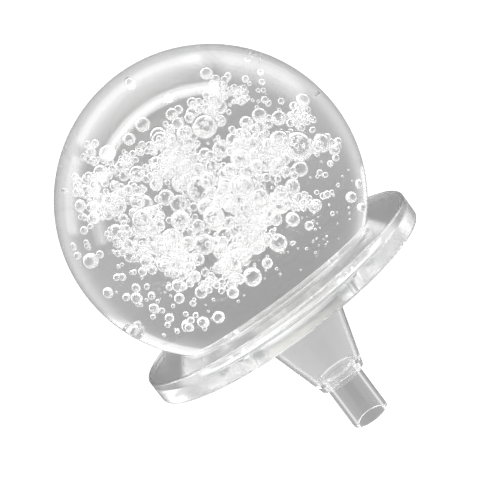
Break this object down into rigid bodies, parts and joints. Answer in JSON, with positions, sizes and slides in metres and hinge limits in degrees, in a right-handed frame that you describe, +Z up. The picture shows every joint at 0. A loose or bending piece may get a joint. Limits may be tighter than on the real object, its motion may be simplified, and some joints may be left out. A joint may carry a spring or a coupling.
{
  "type": "carbon dioxide diffuser",
  "caption": "Clear aquarium gas diffuser: pull-off bubble globe on a round flange, with a funnel and hose spigot below.",
  "frame": {"origin": "centre of the hose spigot's open end, the lowest point of the part", "axes": "+Z up the common axis of spigot, funnel, flange and globe; the part is round about Z apart from the flange's four ports, which lie at 45 degrees to +X"},
  "size_m": [0.0458, 0.0458, 0.0626],
  "materials": {
    "clear_tube": "polished clear",
    "clear_funnel": "polished clear",
    "clear_flange": "polished clear",
    "clear_globe": "polished clear",
    "silicone": "translucent satin",
    "porous_ceramic": "matt sintered"
  },
  "bodies": {
    "base": {"hose_spigot": "clear_tube", "funnel": "clear_funnel", "disc_gasket": "silicone", "porous_disc": "porous_ceramic", "flange": "clear_flange", "globe_seal": "silicone"},
    "globe": {"globe": "clear_globe"}
  },
  "joints": [
    {"name": "globe_lift", "type": "slide", "parent": "base", "child": "globe", "axis": [0, 0, 1], "range_m": [0, 0.004]}
  ]
}
